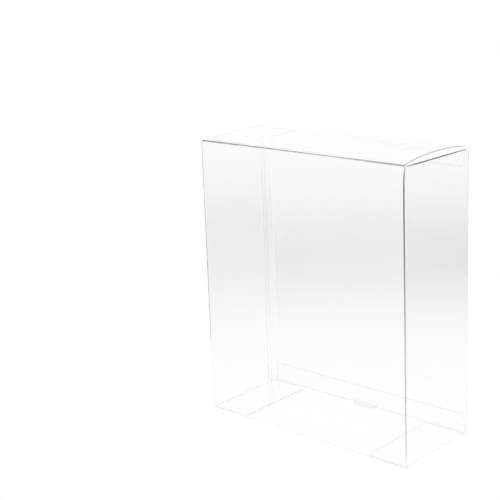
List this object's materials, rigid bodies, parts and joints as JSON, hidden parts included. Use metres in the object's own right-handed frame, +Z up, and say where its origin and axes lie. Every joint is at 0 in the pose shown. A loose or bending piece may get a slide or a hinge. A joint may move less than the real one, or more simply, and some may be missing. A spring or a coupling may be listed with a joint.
{
  "type": "game box protector",
  "caption": "Clear film folding box with a hinged tuck lid, inner dust flaps and a locked base, made to keep a boxed game clean and unscuffed on a shelf.",
  "frame": {"origin": "centre of the base, at the height of the surface that the box stands on", "axes": "+Z up, -Y out of the front wall that carries the lid's hinge crease, +X to the right seen from the front"},
  "size_m": [0.155, 0.064, 0.1815],
  "materials": {
    "clear_film": "clear gloss film"
  },
  "bodies": {
    "box": {"sleeve": "clear_film"},
    "lid": {"top_lid": "clear_film"}
  },
  "joints": [
    {"name": "lid_hinge", "type": "hinge", "parent": "box", "child": "lid", "pos_m": [0, -0.0316, 0.178], "axis": [1, 0, 0], "range_deg": [0, 180]}
  ]
}
